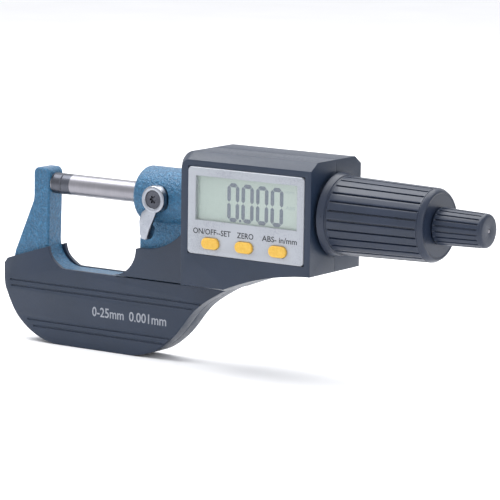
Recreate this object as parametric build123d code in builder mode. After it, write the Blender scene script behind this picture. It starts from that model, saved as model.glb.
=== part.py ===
"""Outside micrometer, 0 to 25 mm, with a digital display. All sizes in millimetres.

The origin is where the two measuring faces meet, on the spindle axis. +X runs from the anvil to the ratchet
knob, the display faces -Y, and +Z is up.
"""

from math import cos, radians, sin
import os

from build123d import *

os.makedirs("parts", exist_ok=True)

# ---- fits -------------------------------------------------------------------------------------------------
run_fit = 0.04  # radial clearance of a part that turns or slides in another
seat_gap = 0.05  # clearance between neighbouring fixed pieces
hatch_gap = 0.10  # clearance around lids, buttons and plates

# ---- spindle and anvil ------------------------------------------------------------------------------------
spindle_r = 3.25
tip_length = 3.4  # carbide disc on the spindle
anvil_reach = 3.7  # anvil face to the inner face of the arm
anvil_tip_length = 3.5
tip_chamfer = 0.25  # round the two measuring faces
anvil_shank_r = 2.2
anvil_shank_length = 5.2
travel = 25.0  # how far the spindle opens from the rest position
thread_r = 4.2
tail_r = 3.0
key_width = 1.2
key_depth = 0.8

# ---- frame ------------------------------------------------------------------------------------------------
frame_t = 7.0
arm_top = 4.9
arm_back = -10.0
arm_corner_r = 2.0
throat_floor = -25.8
throat_left_r = 8.2
throat_right_r = 8.1
throat_right = 30.6
boss_r = 8.6
boss_x = 31.3
boss_round = 1.4
neck_r = 6.95  # frame tube inside the housing
neck_end = 56.0
rail_top = -11.5
rail_bottom = -15.0
lug_x = 84.5
lug_end = 92.0

# ---- housing ----------------------------------------------------------------------------------------------
house_x0 = 50.7
house_x1 = 98.5
house_half = 13.4  # half depth
house_top = 16.0
house_bottom = -17.0
house_corner_r = 5.0
bevel_y = 3.4
bevel_z = 2.3
wall = 1.6
skirt_z = -25.6  # bottom of the covers, just above the grips
skirt_bevel_y = 7.4
skirt_bevel_z = 1.8
tongue_proud = 0.5  # the thin part of each cover stands this far outside the grips
tongue_gap = 0.4  # shadow gap between that part and the grip

# ---- display and buttons ----------------------------------------------------------------------------------
bezel_x0 = 55.6
bezel_x1 = 96.3
bezel_z0 = -14.0
bezel_z1 = 11.8
bezel_t = 1.2
bezel_proud = 0.35
window_x0 = 58.4
window_x1 = 94.0
window_z0 = -3.8
window_z1 = 9.3
lens_t = 1.0
lens_sunk = 0.15  # how far the window sits behind the bezel's front
glass_t = 2.0
glass_margin = 1.4
glass_foot = 0.4  # extra contact ledge along the glass's lower edge
button_length = 6.1
button_width = 3.35
button_z = -10.5
button_xs = (64.0, 75.9, 87.7)
button_proud = 0.8
button_travel = 0.6
button_flange = 0.8
board_front = -8.5
board_t = 1.2

# ---- grips ------------------------------------------------------------------------------------------------
grip_wall = 1.3  # grip outside the frame's flat side
grip_top = -25.7
grip_bottom = -49.6
groove_width = 0.45
groove_depth = 0.35
grooves = ((-31.0, -18.0, 54.2), (-32.8, -17.6, 51.6), (-42.8, -11.2, 43.0), (-44.7, -9.0, 40.6))

# ---- sleeve and thimble -----------------------------------------------------------------------------------
nut_r = 5.6
nut_end = 125.0
sleeve_r = 9.0
sleeve_bore_r = 7.6
sleeve_neck_r = 6.9  # part of the sleeve inside the housing
sleeve_end = 124.0
thimble_x0 = 99.6
collar_r = 12.45
flute_x0 = 102.2
flute_x1 = 132.0
thimble_r0 = 11.55
thimble_r1 = 10.75
thimble_end = 133.7
end_r = 9.7
flute_count = 26
flute_width = 0.75
flute_depth = 0.65
web_x = 127.4  # inner end of the thimble's cavity
cone_r = 5.4

# ---- ratchet ----------------------------------------------------------------------------------------------
knob_x0 = 133.95
knob_end = 149.7
knob_r0 = 5.45
knob_r1 = 4.95
knob_bore_r = 4.0
knob_flutes = 20
ratchet_r = 3.6
ratchet_teeth = 12
screw_r = 1.3

# ---- lock -------------------------------------------------------------------------------------------------
lock_x = 40.5
hub_r = 4.1
hub_front = -10.6
seat_y = -7.6  # flat cut on the boss
stem_r = 2.4
lever_back = 2.2  # the thick end of the lever reaches this far behind the boss's front

# ---- encoder ----------------------------------------------------------------------------------------------
stator_x = 58.8
stator_t = 1.0
rotor_x = 60.3
rotor_t = 0.9
hub_length = 5.8
hub_outer_r = 5.0
hub_key_inset = 0.4
bracket_t = 1.45

# ---- battery ----------------------------------------------------------------------------------------------
cell_x = 75.0
cell_r = 5.8
cell_t = 5.4
cap_r = 8.0
cap_t = 1.4
well_wall = 3.0


def facing_front(y):
    """Sketch plane square to Y at depth y. Extruding goes towards the front, -Y."""
    return Plane.XZ.offset(-y)


def across(x):
    """Sketch plane square to the spindle axis at x. Extruding goes towards +X."""
    return Plane.YZ.offset(x)


def turned(points):
    """A solid turned about the spindle axis from (x, radius) points."""
    with BuildPart(mode=Mode.PRIVATE) as lathe:
        with BuildSketch(Plane.XZ):
            with BuildLine():
                Polyline(*points, close=True)
            make_face()
        revolve(axis=Axis.X)
    return lathe.part


def rod_y(x, z, radius, y0, y1):
    """A round bar along Y between two depths."""
    with BuildPart(mode=Mode.PRIVATE) as bar:
        with BuildSketch(facing_front(y1)):
            with Locations((x, z)):
                Circle(radius)
        extrude(amount=y1 - y0)
    return bar.part


def block(x0, x1, y0, y1, z0, z1):
    """A box between two corners."""
    with BuildPart(mode=Mode.PRIVATE) as brick:
        with Locations(((x0 + x1) / 2, (y0 + y1) / 2, (z0 + z1) / 2)):
            Box(x1 - x0, y1 - y0, z1 - z0)
    return brick.part


def pill(x, z, length, width, y0, y1):
    """A slot-shaped plug along Y."""
    with BuildPart(mode=Mode.PRIVATE) as plug:
        with BuildSketch(facing_front(y1)):
            with Locations((x, z)):
                SlotOverall(length, width)
        extrude(amount=y1 - y0)
    return plug.part


finished = []


def keep(label, body):
    """Name one finished piece and write it out."""
    body.label = label
    finished.append(body)
    export_step(body, f"parts/{label}.step")


# ==== frame ================================================================================================
half_t = frame_t / 2
grip_half = half_t + grip_wall
tongue_face = grip_half + tongue_proud
arm_face = -anvil_reach
frame_low = ((49.0, -24.0), (47.0, -29.0), (44.0, -37.0), (37.0, -43.5), (30.0, -46.0), (0.0, -46.0),
             (-9.0, -43.5), (-15.5, -36.5), (-17.7, -29.0))

with BuildPart() as frame:
    with BuildSketch(facing_front(half_t)) as frame_outline:
        with BuildLine():
            Polyline((arm_back, arm_top), (arm_face, arm_top), (arm_face - 0.5, throat_floor + throat_left_r))
            RadiusArc((arm_face - 0.5, throat_floor + throat_left_r),
                      (arm_face - 0.5 + throat_left_r, throat_floor), -throat_left_r)
            Line((arm_face - 0.5 + throat_left_r, throat_floor), (throat_right - throat_right_r, throat_floor))
            RadiusArc((throat_right - throat_right_r, throat_floor),
                      (throat_right, throat_floor + throat_right_r), -throat_right_r)
            Polyline((throat_right, throat_floor + throat_right_r), (throat_right, -13.5), (boss_x + 0.4, -7.4),
                     (boss_x + 0.4, 0), (house_x0 + wall, 0), (house_x0 + wall, rail_top),
                     (lug_end, rail_top), (lug_end, rail_bottom), (56.0, rail_bottom), (51.5, -19.0),
                     *frame_low, (-17.7, -23.8), (-17.2, -21.8), (-10.2, -5.6), (arm_back, -4.0),
                     (arm_back, arm_top))
        make_face()
        arm_corners = frame_outline.vertices().filter_by(lambda v: v.Y > arm_top - 0.1)
        fillet(arm_corners, radius=arm_corner_r)
    extrude(amount=frame_t)
    rim = frame.faces().filter_by(Axis.Y).edges().filter_by(lambda e: e.center().X < boss_x
                                                            and e.center().Z > -23)
    fillet(rim, radius=0.7)
    with BuildSketch(Plane.XZ):
        with BuildLine():
            Line((boss_x, 0), (boss_x, boss_r - boss_round))
            RadiusArc((boss_x, boss_r - boss_round), (boss_x + boss_round, boss_r), boss_round)
            Polyline((boss_x + boss_round, boss_r), (house_x0 + wall, boss_r), (house_x0 + wall, 0),
                     (boss_x, 0))
        make_face()
    revolve(axis=Axis.X)
    with BuildSketch(across(house_x0 + wall)):
        Circle(neck_r)
    extrude(amount=neck_end - house_x0 - wall)
    with BuildSketch(across(lug_x)):
        Circle(neck_r)
        with Locations((0, rail_top / 2)):
            Rectangle(frame_t, -rail_top + 0.5)
    extrude(amount=lug_end - lug_x)
    with BuildSketch(across(boss_x - 1)):
        Circle(spindle_r + run_fit)
    extrude(amount=neck_end - boss_x + 2, mode=Mode.SUBTRACT)
    with BuildSketch(across(lug_x - 1)):
        Circle(nut_r)
    extrude(amount=lug_end - lug_x + 2, mode=Mode.SUBTRACT)
    with BuildSketch(across(arm_face - anvil_shank_length)):
        Circle(anvil_shank_r)
    extrude(amount=anvil_shank_length + 1, mode=Mode.SUBTRACT)
    add(rod_y(lock_x, 0, hub_r + 0.4, -boss_r - 1, seat_y), mode=Mode.SUBTRACT)
    add(rod_y(lock_x, 0, stem_r + run_fit, -boss_r - 1, 0), mode=Mode.SUBTRACT)
    for grip_x in (2.0, 34.0):
        add(rod_y(grip_x, -37.8, 1.5, -half_t - 1, half_t + 1), mode=Mode.SUBTRACT)
keep("frame", frame.part)

# ==== anvil ================================================================================================
with BuildPart() as anvil:
    add(turned([(arm_face - anvil_shank_length, 0), (arm_face - anvil_shank_length, anvil_shank_r),
                (arm_face, anvil_shank_r), (arm_face, spindle_r), (-anvil_tip_length, spindle_r),
                (-anvil_tip_length, 0)]))
keep("anvil", anvil.part)

with BuildPart() as anvil_tip:
    add(turned([(-anvil_tip_length, 0), (-anvil_tip_length, spindle_r), (-tip_chamfer, spindle_r),
                (0, spindle_r - tip_chamfer), (0, 0)]))
keep("anvil_tip", anvil_tip.part)

# ==== spindle ==============================================================================================
tail_x = web_x - 2.0
hub_x0 = rotor_x + rotor_t
hub_x1 = hub_x0 + hub_length
keyway_x0 = hub_x0 + hub_key_inset - travel - 1.5  # the hub's key stays in its slot over the whole travel
keyway_x1 = hub_x1 + 3.0
with BuildPart() as spindle:
    add(turned([(tip_length, 0), (tip_length, spindle_r), (lug_x - 1, spindle_r), (lug_x, thread_r),
                (tail_x, thread_r), (tail_x, tail_r), (thimble_end - 1.8, tail_r), (thimble_end - 1.8, 0)]))
    add(block(keyway_x0, keyway_x1, -key_width / 2, key_width / 2, spindle_r - key_depth, spindle_r + 1),
        mode=Mode.SUBTRACT)
    add(turned([(thimble_end - 9, 0), (thimble_end - 9, screw_r), (thimble_end, screw_r), (thimble_end, 0)]),
        mode=Mode.SUBTRACT)
keep("spindle", spindle.part)

with BuildPart() as spindle_tip:
    add(turned([(0.02, 0), (0.02, spindle_r - tip_chamfer), (0.02 + tip_chamfer, spindle_r), (tip_length, spindle_r),
                (tip_length, 0)]))
keep("spindle_tip", spindle_tip.part)

# ==== sleeve, nut and adjusting nut ========================================================================
with BuildPart() as inner_nut:
    add(turned([(lug_x, thread_r + run_fit), (lug_x, nut_r), (nut_end - 6, nut_r), (nut_end, nut_r - 0.5),
                (nut_end, thread_r + run_fit)]))
    for turn in (0, 120, 240):
        slit = block(nut_end - 9, nut_end + 1, 0, nut_r + 1, -0.25, 0.25)
        add(slit.rotate(Axis.X, turn), mode=Mode.SUBTRACT)
keep("inner_nut", inner_nut.part)

with BuildPart() as adjusting_nut:
    add(turned([(nut_end - 5.8, nut_r + 0.03), (nut_end - 5.8, 7.2), (nut_end - 1, 7.2),
                (nut_end - 1, nut_r + 0.03)]))
    for turn in (90, 270):
        spanner_hole = block(nut_end - 2.4, nut_end, 6.2, 8, -0.6, 0.6)
        add(spanner_hole.rotate(Axis.X, turn), mode=Mode.SUBTRACT)
keep("adjusting_nut", adjusting_nut.part)

with BuildPart() as sleeve:
    flange_x = house_x1 - wall - 0.4
    add(turned([(lug_end + 0.1, nut_r), (lug_end + 0.1, sleeve_neck_r), (flange_x, sleeve_neck_r),
                (flange_x, sleeve_r), (sleeve_end - 0.4, sleeve_r), (sleeve_end, sleeve_r - 0.4),
                (sleeve_end, sleeve_bore_r), (house_x1, sleeve_bore_r), (house_x1, nut_r)]))
keep("sleeve", sleeve.part)

# ==== thimble ==============================================================================================
with BuildPart() as thimble:
    add(turned([(thimble_x0, sleeve_r + 0.35), (thimble_x0, collar_r - 0.35), (thimble_x0 + 0.35, collar_r),
                (flute_x0, thimble_r0 - 0.2), (flute_x0 + 0.3, thimble_r0), (flute_x1, thimble_r1),
                (flute_x1 + 0.5, thimble_r1), (thimble_end, end_r), (thimble_end, end_r - 0.5),
                (thimble_end - 1.2, end_r - 0.5), (thimble_end - 1.2, cone_r), (web_x, cone_r),
                (web_x, sleeve_r + 0.35)]))
    with BuildPart(mode=Mode.PRIVATE) as groove_tool:
        with BuildSketch(facing_front(flute_width / 2)):
            with BuildLine():
                Polyline((flute_x0 + 0.5, thimble_r0 + 2), (flute_x0 + 0.5, thimble_r0 - 0.2),
                         (flute_x0 + 1.1, thimble_r0 - flute_depth),
                         (flute_x1 - 0.6, thimble_r1 - flute_depth), (flute_x1, thimble_r1 - 0.1),
                         (flute_x1, thimble_r0 + 2), close=True)
            make_face()
        extrude(amount=flute_width)
    for flute in range(flute_count):
        add(groove_tool.part.rotate(Axis.X, 360 / flute_count * (flute + 0.5)), mode=Mode.SUBTRACT)
keep("thimble", thimble.part)

with BuildPart() as thimble_cone:
    add(turned([(web_x, tail_r), (web_x, cone_r), (thimble_end - 1.8, cone_r), (thimble_end - 1.8, tail_r)]))
    add(block(web_x - 1, thimble_end, 0, cone_r + 1, -0.3, 0.3), mode=Mode.SUBTRACT)
keep("thimble_cone", thimble_cone.part)

with BuildPart() as thimble_end_plate:
    add(turned([(thimble_end - 1.15, screw_r + 0.1), (thimble_end - 1.15, end_r - 0.55),
                (thimble_end - 0.1, end_r - 0.55), (thimble_end - 0.1, screw_r + 0.1)]))
keep("thimble_end_plate", thimble_end_plate.part)

# ==== ratchet ==============================================================================================
with BuildPart() as ratchet_screw:
    add(turned([(thimble_end - 9, 0), (thimble_end - 9, screw_r), (knob_end - 4.6, screw_r),
                (knob_end - 4.6, 2.5), (knob_end - 3.2, 2.5), (knob_end - 3.2, 0)]))
    add(block(knob_end - 3.9, knob_end, -0.35, 0.35, -3, 3), mode=Mode.SUBTRACT)
keep("ratchet_screw", ratchet_screw.part)

wheel_x = knob_x0 + 0.15
pawl_x = wheel_x + 2.9
with BuildPart() as ratchet_wheel:
    add(turned([(wheel_x, screw_r), (wheel_x, ratchet_r), (wheel_x + 2.0, ratchet_r),
                (wheel_x + 2.0, screw_r)]))
    with BuildPart(mode=Mode.PRIVATE) as tooth_gap:
        with BuildSketch(facing_front(ratchet_r + 1)):
            with BuildLine():
                Polyline((wheel_x + 1.2, 0.0), (wheel_x + 2.1, 0.0), (wheel_x + 2.1, 0.9), close=True)
            make_face()
        extrude(amount=ratchet_r + 1)
    for tooth in range(ratchet_teeth):
        add(tooth_gap.part.rotate(Axis.X, 360 / ratchet_teeth * tooth), mode=Mode.SUBTRACT)
keep("ratchet_wheel", ratchet_wheel.part)

with BuildPart() as ratchet_pawl:
    add(turned([(pawl_x - 0.85, screw_r + 0.15), (pawl_x - 0.85, ratchet_r), (pawl_x + 0.9, ratchet_r),
                (pawl_x + 0.9, screw_r + 0.15)]))
    for side in (0, 180):
        add(block(pawl_x, pawl_x + 0.9, ratchet_r - 0.2, knob_bore_r + 0.35, -0.6, 0.6).rotate(Axis.X, side))
keep("ratchet_pawl", ratchet_pawl.part)

spring_x0 = pawl_x + 1.2
spring_x1 = knob_end - 4.9
with BuildPart() as ratchet_spring:
    with BuildLine(mode=Mode.PRIVATE) as coil:
        Helix(pitch=(spring_x1 - spring_x0) / 4, height=spring_x1 - spring_x0, radius=2.6,
              center=(spring_x0, 0, 0), direction=(1, 0, 0))
    with BuildSketch(Plane(origin=coil.line @ 0, z_dir=coil.line % 0)):
        Circle(0.25)
    sweep(path=coil.line, is_frenet=True)
keep("ratchet_spring", ratchet_spring.part)

with BuildPart() as ratchet_knob:
    add(turned([(knob_x0, knob_bore_r), (knob_x0, knob_r0 - 0.3), (knob_x0 + 0.3, knob_r0),
                (knob_end - 0.8, knob_r1), (knob_end - 0.25, knob_r1 - 0.25), (knob_end, knob_r1 - 0.7),
                (knob_end, 0), (knob_end - 2.6, 0), (knob_end - 2.6, knob_bore_r - 0.4),
                (knob_end - 3.0, knob_bore_r)]))
    with BuildPart(mode=Mode.PRIVATE) as knob_groove:
        with BuildSketch(facing_front(0.3)):
            with BuildLine():
                Polyline((knob_x0 + 0.5, knob_r0 + 2), (knob_x0 + 0.5, knob_r0 - 0.4),
                         (knob_end - 1.6, knob_r1 - 0.4), (knob_end - 1.1, knob_r1 + 0.1),
                         (knob_end - 1.1, knob_r0 + 2), close=True)
            make_face()
        extrude(amount=0.6)
    for flute in range(knob_flutes):
        add(knob_groove.part.rotate(Axis.X, 360 / knob_flutes * (flute + 0.5)), mode=Mode.SUBTRACT)
    for side in (0, 180):
        add(block(pawl_x - 2.0, knob_end - 3.2, knob_bore_r - 0.3, knob_bore_r + 0.4, -0.65,
                  0.65).rotate(Axis.X, side), mode=Mode.SUBTRACT)
    add(turned([(knob_end - 0.25, 0), (knob_end - 0.25, 0.55), (knob_end + 1, 0.55), (knob_end + 1, 0)]),
        mode=Mode.SUBTRACT)
keep("ratchet_knob", ratchet_knob.part)

with BuildPart() as knob_pin:
    add(turned([(knob_end - 0.25, 0), (knob_end - 0.25, 0.5), (knob_end - 0.05, 0.5), (knob_end, 0.35),
                (knob_end, 0)]))
keep("knob_pin", knob_pin.part)

# ==== lock =================================================================================================
with BuildPart() as lock_lever:
    with BuildSketch(facing_front(seat_y - 0.1)):
        with Locations((lock_x, 0)):
            Circle(hub_r)
    extrude(amount=seat_y - 0.1 - hub_front)
    with BuildSketch(facing_front(-boss_r - 0.15)):
        with BuildLine():
            Line((lock_x + 1.2, -1.5), (lock_x - 3.4, -1.0))
            Spline((lock_x - 3.4, -1.0), (lock_x - 4.7, -4.7), (lock_x - 5.4, -8.0), (lock_x - 4.8, -11.0),
                   (lock_x - 3.6, -12.6))
            Spline((lock_x - 3.6, -12.6), (lock_x - 2.2, -11.0), (lock_x - 0.6, -6.6), (lock_x + 1.2, -1.5))
        make_face()
    extrude(amount=-boss_r - 0.15 - hub_front)
    with BuildSketch(facing_front(-boss_r + lever_back)):
        with BuildLine():
            Line((lock_x - 1.7, -8.6), (lock_x - 5.0, -7.6))
            Spline((lock_x - 5.0, -7.6), (lock_x - 4.95, -9.2), (lock_x - 4.5, -10.8), (lock_x - 3.6, -12.1))
            Spline((lock_x - 3.6, -12.1), (lock_x - 2.5, -10.8), (lock_x - 1.7, -8.6))
        make_face()
    extrude(amount=lever_back + 0.2)
    add(rod_y(lock_x, 0, 2.75, hub_front - 1, hub_front + 1.3), mode=Mode.SUBTRACT)
    add(rod_y(lock_x, 0, 1.9, hub_front - 1, seat_y), mode=Mode.SUBTRACT)
keep("lock_lever", lock_lever.part)

with BuildPart() as lock_stem:
    add(rod_y(lock_x, 0, stem_r, seat_y - 0.05, -spindle_r - 2.2))
    add(rod_y(lock_x, 0, 1.9, hub_front + 1.35, seat_y))
    add(rod_y(lock_x, 0, 1.0, hub_front, -spindle_r - 2.6), mode=Mode.SUBTRACT)
keep("lock_stem", lock_stem.part)

with BuildPart() as lock_screw:
    add(rod_y(lock_x, 0, 2.65, hub_front + 0.35, hub_front + 1.3))
    add(rod_y(lock_x, 0, 1.0, hub_front + 1.3, -spindle_r - 2.9))
    with BuildSketch(facing_front(hub_front + 0.9)):
        with Locations((lock_x, 0)):
            for lobe in (0, 60, 120):
                SlotOverall(2.5, 0.62, rotation=lobe)
    extrude(amount=1, mode=Mode.SUBTRACT)
keep("lock_screw", lock_screw.part)

with BuildPart() as lock_pin:
    add(rod_y(lock_x, 0, stem_r - 0.1, -spindle_r - 2.1, 0))
    add(turned([(lock_x - 5, 0), (lock_x - 5, spindle_r + 0.06), (lock_x + 5, spindle_r + 0.06),
                (lock_x + 5, 0)]), mode=Mode.SUBTRACT)
keep("lock_pin", lock_pin.part)

# ==== encoder ==============================================================================================
with BuildPart() as encoder_stator:
    add(block(stator_x, stator_x + stator_t, -6.9, 6.9, rail_top + seat_gap, 6.9))
    add(turned([(stator_x - 1, 0), (stator_x - 1, spindle_r + 0.75), (rotor_x, spindle_r + 0.75),
                (rotor_x, 0)]), mode=Mode.SUBTRACT)
keep("encoder_stator", encoder_stator.part)

with BuildPart() as encoder_rotor:
    add(turned([(rotor_x, spindle_r + 0.35), (rotor_x, 6.8), (hub_x0, 6.8), (hub_x0, spindle_r + 0.35)]))
keep("encoder_rotor", encoder_rotor.part)

with BuildPart() as rotor_hub:
    add(turned([(hub_x0, spindle_r + run_fit), (hub_x0, hub_outer_r), (hub_x1, hub_outer_r),
                (hub_x1, spindle_r + run_fit)]))
    add(block(hub_x0 + hub_key_inset, hub_x1 - hub_key_inset, -key_width / 2 + 0.05, key_width / 2 - 0.05, spindle_r - key_depth + 0.08,
              spindle_r + 0.5))
keep("rotor_hub", rotor_hub.part)

with BuildPart() as rotor_bracket:
    bracket_x = hub_x1 + 0.15
    add(block(bracket_x, bracket_x + bracket_t, -6.1, 6.1, rail_top + seat_gap, 6.4))
    add(turned([(hub_x1 - 1, 0), (hub_x1 - 1, spindle_r + 0.45), (bracket_x + bracket_t + 1, spindle_r + 0.45),
                (bracket_x + bracket_t + 1, 0)]), mode=Mode.SUBTRACT)
keep("rotor_bracket", rotor_bracket.part)

# ==== grips ================================================================================================
with BuildSketch(Plane.XZ, mode=Mode.PRIVATE) as grip_outline:
    with BuildLine():
        Polyline((-20.4, -28.0), (-20.4, -26.0), (-19.2, -24.4), (-16.3, -23.4), (-3.1, -19.2))
        Spline((-3.1, -19.2), (-2.3, -21.9), (-0.4, -23.9), (1.6, -25.2), (4.2, grip_top),
               tangents=((0.1, -1), (1, 0)))
        Polyline((4.2, grip_top), (63.6, grip_top))
        Spline((63.6, grip_top), (57.9, -28.9), (52.5, -32.8), (48.9, -36.9), (45.2, -41.4), (41.6, -44.6),
               (36.4, -47.8), (31.2, -49.2), (25.0, grip_bottom), tangents=((-1, -0.5), (-1, 0)))
        Line((25.0, grip_bottom), (2.0, grip_bottom))
        Spline((2.0, grip_bottom), (-6.1, -48.2), (-12.1, -44.9), (-16.5, -40.3), (-19.3, -35.0),
               (-20.4, -28.0), tangents=((-1, 0), (0, 1)))
    make_face()
pocket_points = [(x + (0.12 if x > 20 else -0.12), z - 0.12) for x, z in frame_low]
with BuildSketch(Plane.XZ, mode=Mode.PRIVATE) as pocket_outline:
    with BuildLine():
        Polyline((49.3, -15.0), *pocket_points, (-17.82, -15.0), close=True)
    make_face()

with BuildPart() as front_grip:
    extrude(grip_outline.sketch.moved(Location((0, -seat_gap / 2, 0))), amount=grip_half - seat_gap / 2)
    extrude(pocket_outline.sketch.moved(Location((0, 1, 0))), amount=half_t + seat_gap + 1,
            mode=Mode.SUBTRACT)
    for groove_z, groove_x0, groove_x1 in grooves:
        add(block(groove_x0, groove_x1, -grip_half - 1, -grip_half + groove_depth, groove_z - groove_width / 2,
                  groove_z + groove_width / 2), mode=Mode.SUBTRACT)
    for grip_x in (2.0, 34.0):
        add(rod_y(grip_x, -37.8, 1.1, -grip_half + 0.4, 0), mode=Mode.SUBTRACT)
keep("front_grip", front_grip.part)

with BuildPart() as back_grip:
    extrude(grip_outline.sketch.moved(Location((0, seat_gap / 2, 0))), amount=-(grip_half - seat_gap / 2))
    extrude(pocket_outline.sketch.moved(Location((0, -1, 0))), amount=-(half_t + seat_gap + 1),
            mode=Mode.SUBTRACT)
    for groove_z, groove_x0, groove_x1 in grooves:
        add(block(groove_x0, groove_x1, grip_half - groove_depth, grip_half + 1, groove_z - groove_width / 2,
                  groove_z + groove_width / 2), mode=Mode.SUBTRACT)
    for grip_x in (2.0, 34.0):
        add(rod_y(grip_x, -37.8, 1.3, 0, grip_half + 1), mode=Mode.SUBTRACT)
        add(rod_y(grip_x, -37.8, 2.15, grip_half - 0.95, grip_half + 1), mode=Mode.SUBTRACT)
keep("back_grip", back_grip.part)

with BuildPart() as grip_screws:
    for grip_x in (2.0, 34.0):
        add(rod_y(grip_x, -37.8, 1.1, -grip_half + 0.5, grip_half - 0.9))
        add(rod_y(grip_x, -37.8, 2.0, grip_half - 0.9, grip_half - 0.1))
        add(block(grip_x - 1.3, grip_x + 1.3, grip_half - 0.6, grip_half + 1, -37.8 - 0.25, -37.8 + 0.25),
            mode=Mode.SUBTRACT)
        add(block(grip_x - 0.25, grip_x + 0.25, grip_half - 0.6, grip_half + 1, -37.8 - 1.3, -37.8 + 1.3),
            mode=Mode.SUBTRACT)
keep("grip_screws", grip_screws.part)

# ==== housing covers =======================================================================================
with BuildSketch(Plane.XZ, mode=Mode.PRIVATE) as box_outline:
    with BuildLine():
        Polyline((house_x0, skirt_z), (house_x0, house_top - house_corner_r))
        RadiusArc((house_x0, house_top - house_corner_r), (house_x0 + house_corner_r, house_top),
                  house_corner_r)
        Polyline((house_x0 + house_corner_r, house_top), (house_x1, house_top), (house_x1, house_bottom))
        Spline((house_x1, house_bottom), (91.9, -17.5), (84.9, -18.6), (78.0, -20.3), (70.9, -22.8),
               (64.4, skirt_z), tangents=((-1, 0), (-0.9, -0.45)))
        Line((64.4, skirt_z), (house_x0, skirt_z))
    make_face()
with BuildSketch(Plane.XZ, mode=Mode.PRIVATE) as tongue_outline:
    with BuildLine():
        tongue_left = throat_right - 0.9
        tongue_low = grip_top + tongue_gap
        Line((22.5, tongue_low), (house_x0 + 1, tongue_low))
        Line((house_x0 + 1, tongue_low), (house_x0 + 1, -4.0))
        RadiusArc((house_x0 + 1, -4.0), (32.0, -16.1), 20.0)
        Line((32.0, -16.1), (throat_right, -16.4))
        RadiusArc((throat_right, -16.4), (22.5, tongue_low), 9.0)
    make_face()
screw_spots = ((54.7, 10.6), (94.6, 10.6), (94.6, -12.9), (54.7, -20.3))

with BuildPart() as front_cover:
    extrude(box_outline.sketch.moved(Location((0, -seat_gap / 2, 0))), amount=house_half - seat_gap / 2)
    front_top = front_cover.faces().sort_by(Axis.Y)[0].edges().filter_by(
        lambda e: e.center().Z > house_top - 3)
    chamfer(front_top, length=bevel_z, length2=bevel_y,
            reference=front_cover.faces().sort_by(Axis.Y)[0])
    with BuildSketch(across(house_x0 - 1)):
        with BuildLine():
            Polyline((-house_half - 1, skirt_z - 1), (-house_half - 1, skirt_z + skirt_bevel_z),
                     (-house_half, skirt_z + skirt_bevel_z), (-house_half + skirt_bevel_y, skirt_z),
                     (-house_half + skirt_bevel_y, skirt_z - 1), close=True)
        make_face()
    extrude(amount=20, mode=Mode.SUBTRACT)
    extrude(tongue_outline.sketch.moved(Location((0, -half_t - seat_gap, 0))),
            amount=tongue_face - half_t - seat_gap)
    add(block(house_x0 + wall, house_x1 - wall, -house_half + wall, 0, -15.6, house_top - 2.8),
        mode=Mode.SUBTRACT)
    add(block(house_x0 + wall, 63.0, -house_half + wall + 2, 0, -23.6, -15.0), mode=Mode.SUBTRACT)
    add(block(house_x0 - 1, house_x0 + wall + 0.1, -half_t - seat_gap, 1, skirt_z - 1, 0),
        mode=Mode.SUBTRACT)
    add(turned([(house_x0 - 1, 0), (house_x0 - 1, boss_r + seat_gap), (house_x0 + wall + 0.1, boss_r + seat_gap),
                (house_x0 + wall + 0.1, 0)]), mode=Mode.SUBTRACT)
    add(turned([(house_x1 - wall - 1, 0), (house_x1 - wall - 1, sleeve_r + seat_gap),
                (house_x1 + 1, sleeve_r + seat_gap), (house_x1 + 1, 0)]), mode=Mode.SUBTRACT)
    recess_y = -house_half - bezel_proud + bezel_t
    add(block(bezel_x0 - hatch_gap, bezel_x1 + hatch_gap, -house_half - 1, recess_y, bezel_z0 - hatch_gap,
              bezel_z1 + hatch_gap), mode=Mode.SUBTRACT)
    glass_hole = glass_margin + hatch_gap
    add(block(window_x0 - glass_hole, window_x1 + glass_hole, -house_half - 1, 0,
              window_z0 - glass_hole - glass_foot, window_z1 + glass_hole), mode=Mode.SUBTRACT)
    for button_x in button_xs:
        add(pill(button_x, button_z, button_length + 0.4, button_width + 0.4, -house_half - 1, -9),
            mode=Mode.SUBTRACT)
    for screw_x, screw_z in screw_spots:
        side = house_x0 if screw_x < 70 else house_x1
        near, far = sorted((screw_x, side + (wall / 2 if side < 70 else -wall / 2)))
        add(block(near, far, -6.9, -seat_gap / 2, screw_z - 1.2, screw_z + 1.2))
        add(rod_y(screw_x, screw_z, 1.9, -6.9, -seat_gap / 2))
        add(rod_y(screw_x, screw_z, 0.95, -6.0, 1), mode=Mode.SUBTRACT)
keep("front_cover", front_cover.part)

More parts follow.
